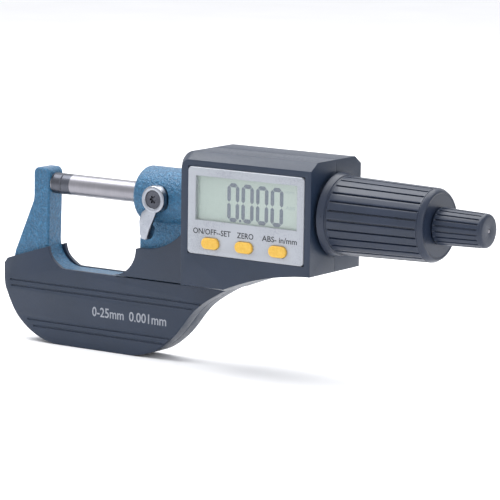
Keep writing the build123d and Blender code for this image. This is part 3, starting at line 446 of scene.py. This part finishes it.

# %% [markdown]
# ## Lock lever
# The lever is a forged ring with a leaf-shaped arm, blasted and chromed. The ring is a profile turned
# about the stud's axis. The leaf is a superellipse section carried along a curved centre line: width and
# thickness follow the distance along it, and each end of the leaf is closed with a flat face.

# %% Lever
LOCK_X = 40.5
ring = np.array([(4.1, -7.7), (4.1, -10.2), (4.02, -10.42), (3.85, -10.56), (3.6, -10.6), (3.05, -10.6),
                 (2.85, -10.52), (2.75, -10.35), (2.75, -9.3), (1.9, -9.3), (1.9, -7.7), (4.1, -7.7)])
around = np.linspace(0, 2 * np.pi, 72, endpoint=False)
ring_points = np.stack([LOCK_X + ring[:-1, 0:1] * np.cos(around), ring[:-1, 1:2] + 0 * around,
                        ring[:-1, 0:1] * np.sin(around)], axis=-1)
ring_faces = grid_faces(*ring_points.shape[:2], wrap_rows=True)

along = np.linspace(0, 1, 30)[:, None]
stations = np.array([0, 0.2, 0.4, 0.6, 0.8, 0.93, 1])
left_x, left_z = (-2.6, -4.2, -5.1, -5.4, -5.25, -4.95, -4.6), (-2.9, -4.2, -6.2, -8.3, -10.4, -11.6, -12.2)
right_x, right_z = (1.4, 0.6, -0.3, -1.2, -1.9, -2.3, -2.6), (-3.2, -4.9, -6.9, -8.9, -10.8, -11.9, -12.4)
left = np.stack([np.interp(along[:, 0], stations, left_x), np.interp(along[:, 0], stations, left_z)], 1)
right = np.stack([np.interp(along[:, 0], stations, right_x), np.interp(along[:, 0], stations, right_z)], 1)
middle, half_width = (left + right) / 2, (right - left) / 2
section = np.linspace(0, 2 * np.pi, 40, endpoint=False)[None, :]
across_leaf = np.sign(np.cos(section)) * np.abs(np.cos(section)) ** 0.4
through = np.sign(np.sin(section)) * np.abs(np.sin(section)) ** 0.4
front_y = -10.5 + 0.3 * smoothstep(0.8, 1.0, along)
back_y = -8.8 + 2.3 * smoothstep(0.48, 0.62, along) - 0.5 * smoothstep(0.9, 1.0, along)
leaf_y = (front_y + back_y) / 2 - through * (back_y - front_y) / 2 * (1 - 0.12 * across_leaf ** 2)
leaf_points = np.stack([LOCK_X + middle[:, 0:1] + half_width[:, 0:1] * across_leaf, leaf_y,
                        middle[:, 1:2] + half_width[:, 1:2] * across_leaf], axis=-1)
rows_l, columns_l = leaf_points.shape[:2]
leaf_faces = grid_faces(rows_l, columns_l)
leaf_faces.append(tuple(range(columns_l)))
leaf_faces.append(tuple(range(rows_l * columns_l - 1, (rows_l - 1) * columns_l - 1, -1)))
shift = ring_points.size // 3
lever = new_piece("lever_forging", np.concatenate([ring_points.reshape(-1, 3), leaf_points.reshape(-1, 3)]),
                  ring_faces + [tuple(i + shift for i in f) for f in leaf_faces], sharp=50)
lever.data.materials.append(finishes["bright_chrome"])
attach(lever, "lever_set")
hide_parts("lock_lever")
print("lever faces", len(lever.data.polygons))

# %% [markdown]
# ## Display digits
# The reading is 0.000. Each digit is seven-segment without its middle bar: six strips with cut ends and a
# small gap between them. A strip is a hexagon, so a digit is the same hexagon laid along six lines, and
# numpy builds all of them as prisms a few hundredths of a millimetre thick, on the front of the glass
# cell.

# %% Digits
DIGIT_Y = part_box("display_glass")[0].y / MM


def strip(start_point, end_point, width):
    """Hexagon outline of a strip between two points of the (x, z) plane, its ends cut at 45 degrees."""
    a, b = np.array(start_point, float), np.array(end_point, float)
    run = (b - a) / np.linalg.norm(b - a)
    side = np.array([-run[1], run[0]]) * width / 2
    nose = run * width / 2
    return np.array([a, a + nose + side, b - nose + side, b, b - nose - side, a + nose - side])


def plates(name, outlines, y_front, thickness):
    """One mesh of flat prisms, one per (x, z) outline, from y_front back by thickness."""
    verts, faces = [], []
    for outline in outlines:
        count, first = len(outline), sum(len(v) for v in verts)
        front = np.column_stack([outline[:, 0], np.full(count, y_front), outline[:, 1]])
        verts.append(np.concatenate([front, front + [0, thickness, 0]]))
        ring_index = list(range(count))
        faces.append(tuple(first + i for i in ring_index))
        faces.append(tuple(first + count + i for i in reversed(ring_index)))
        faces += [(first + i, first + (i + 1) % count, first + count + (i + 1) % count, first + count + i)
                  for i in ring_index]
    return new_piece(name, np.concatenate(verts), faces, smooth=False)


outlines = []
gap, stroke = 0.10, 1.22
for x0, x1 in ((68.9, 73.1), (73.9, 78.2), (79.0, 83.3), (84.1, 88.5)):
    lo_x, hi_x, lo_z, mid_z, hi_z = x0 + stroke / 2, x1 - stroke / 2, -2.9, 2.2, 7.3
    outlines += [strip((lo_x + gap, hi_z), (hi_x - gap, hi_z), stroke),
                 strip((lo_x + gap, lo_z), (hi_x - gap, lo_z), stroke)]
    for side_x in (lo_x, hi_x):
        outlines += [strip((side_x, mid_z + gap), (side_x, hi_z - gap), stroke),
                     strip((side_x, lo_z + gap), (side_x, mid_z - gap), stroke)]
point = np.array([(73.15, -3.35), (73.9, -3.35), (73.9, -2.65), (73.15, -2.65)])
digits = plates("reading_digits", outlines + [point], DIGIT_Y - 0.03, 0.03)
digits.data.materials.append(finishes["crystal_ink"])
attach(digits, "base")
print("digit strips", len(outlines))

# %% [markdown]
# ## Printed words
# The words are function names and the measuring range: screen printed in dark ink on the bezel, and pad
# printed in pale ink on the grip. Text is made a mesh first, then its vertices are fitted to a width and
# a cap height, so the object itself stays at the origin.


# %% Lettering
def letter_mesh(words, thin, heavier=0.0):
    """Text as vertex and face arrays, in its own plane. thin extrudes it, heavier fattens it."""
    curve = bpy.data.curves.new("words", "FONT")
    curve.body = words
    curve.extrude = thin
    curve.offset = heavier
    curve.resolution_u = 3
    holder = bpy.data.objects.new("words", curve)
    bpy.context.scene.collection.objects.link(holder)
    bpy.context.view_layer.update()
    made = bpy.data.meshes.new_from_object(holder.evaluated_get(bpy.context.evaluated_depsgraph_get()))
    co = np.empty(len(made.vertices) * 3)
    made.vertices.foreach_get("co", co)
    faces = [tuple(p.vertices) for p in made.polygons]
    bpy.data.objects.remove(holder)
    bpy.data.curves.remove(curve)
    bpy.data.meshes.remove(made)
    return co.reshape(-1, 3), faces


CAP = letter_mesh("H", 0.0)[0][:, 1].max()


def printed(name, words, x0, x1, baseline, cap_height, y, ink, body="base"):
    """Words between x0 and x1 on a front face at depth y. The ink stands 0.02 mm proud of it."""
    co, faces = letter_mesh(words, 0.5, INK_WEIGHT)
    width = np.ptp(co[:, 0])
    flat = np.column_stack([x0 + (co[:, 0] - co[:, 0].min()) / width * (x1 - x0), y - 0.01 - co[:, 2] * 0.02,
                            baseline + co[:, 1] * cap_height / CAP])
    piece = new_piece(name, flat, faces, smooth=False)
    piece.data.materials.append(finishes[ink])
    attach(piece, body)
    return piece


bezel_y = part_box("bezel")[0].y / MM
grip_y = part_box("front_grip")[0].y / MM
KEY_WORDS_Z, KEY_WORDS_CAP = -7.85, 1.6  # baseline and capital height, mm
RANGE_WORDS_Z, RANGE_WORDS_CAP = -39.0, 2.8
FLAG_CAP = 0.95
INK_WEIGHT = 0.012  # how much the strokes are fattened, in the font's own units
for words, name, x0, x1 in (("ON/OFF--SET", "label_power", 57.7, 71.1), ("ZERO", "label_zero", 73.3, 79.1),
                            ("ABS- in/mm", "label_mode", 82.1, 94.2)):
    printed(name, words, x0, x1, KEY_WORDS_Z, KEY_WORDS_CAP, bezel_y, "label_ink")
for words, name, x0, x1 in (("0-25mm", "label_range", 14.0, 26.0), ("0.001mm", "label_step", 28.0, 41.9)):
    printed(name, words, x0, x1, RANGE_WORDS_Z, RANGE_WORDS_CAP, grip_y, "grip_ink")
for words, name, x0, x1, z in (("mm", "flag_unit", 89.3, 92.1, 6.6), ("ABS", "flag_mode", 89.3, 92.6, 1.9)):
    printed(name, words, x0, x1, z, FLAG_CAP, DIGIT_Y, "crystal_faint")
print("bezel front", round(bezel_y, 2), "grip front", round(grip_y, 2),
    "cap height of the font", round(CAP, 3))

# %% [markdown]
# ## Floor, light and camera
# The floor is one large pale plate just under the grips. A white world gives even studio light, a softbox
# overhead brightens the top faces, and a narrow one high in front draws the bright land along the
# thimble.

# %% Floor
FLOOR_REACH = 6000  # mm each way, so its edge is out of every view
FLOOR_GAP = 0.05  # mm under the lowest point
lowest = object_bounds()[0].z / MM
floor = new_piece("floor", FLOOR_REACH * np.array([(-1, -1, 0), (1, -1, 0), (1, 1, 0), (-1, 1, 0)])
                  + [0, 0, lowest - FLOOR_GAP], [(0, 1, 2, 3)], smooth=False)
paper, tree, shader, mm = start("white_paper_floor", Roughness=0.9)
fibre = add(tree, "TexNoise", {"Vector": mm, "Scale": 1 / 60, "Detail": 2.0})
tree.links.new(ramp(tree, fibre.outputs["Fac"], (0.3, "#f2f2f3"), (0.7, "#f5f5f6")),
    shader.inputs["Base Color"])
floor.data.materials.append(paper)

# %% Lights
world = bpy.data.worlds.new("studio")
world.use_nodes = True
world.node_tree.nodes["Background"].inputs[0].default_value = hex_colour("#fbfcff")
world.node_tree.nodes["Background"].inputs[1].default_value = 1.0
bpy.context.scene.world = world
bpy.context.scene.view_settings.view_transform = "Standard"


def softbox(name, place, target, size, watts):
    """An area light at place looking at target, both in metres."""
    lamp = bpy.data.lights.new(name, "AREA")
    lamp.shape = "RECTANGLE"
    lamp.size, lamp.size_y = size
    lamp.energy = watts
    holder = bpy.data.objects.new(name, lamp)
    holder.location = place
    holder.rotation_euler = (Vector(target) - Vector(place)).to_track_quat("-Z", "Y").to_euler()
    bpy.context.scene.collection.objects.link(holder)


softbox("overhead", (-0.10, 0.10, 0.70), (0.05, 0, 0), (1.1, 0.7), 8.5)
softbox("strip_high_front", (-0.35, -0.05, 0.62), (0.11, 0, 0), (0.5, 0.05), 1.2)
softbox("fill_right", (0.85, -0.45, 0.35), (0.05, 0, 0), (0.4, 0.4), 0.8)

# %% Camera
CAMERA_AT = (0.5706, -0.7440, 0.1303)  # metres
LENS, SENSOR = 220.75, 36  # mm
azimuth, elevation, roll = radians(34.003), radians(9.109), radians(0.878)
look = Vector((-sin(azimuth) * cos(elevation), cos(azimuth) * cos(elevation), -sin(elevation)))
level = Vector((cos(azimuth), sin(azimuth), 0))
upright = level.cross(look)
right_axis = cos(roll) * level + sin(roll) * upright
up_axis = -sin(roll) * level + cos(roll) * upright
camera = bpy.data.objects.new("camera", bpy.data.cameras.new("camera"))
camera.data.lens, camera.data.sensor_width = LENS, SENSOR
camera.data.clip_start, camera.data.clip_end = 0.05, 30
turned = Matrix((right_axis, up_axis, -look)).transposed().to_4x4()
camera.matrix_world = Matrix.Translation(CAMERA_AT) @ turned
bpy.context.scene.collection.objects.link(camera)
bpy.context.scene.camera = camera
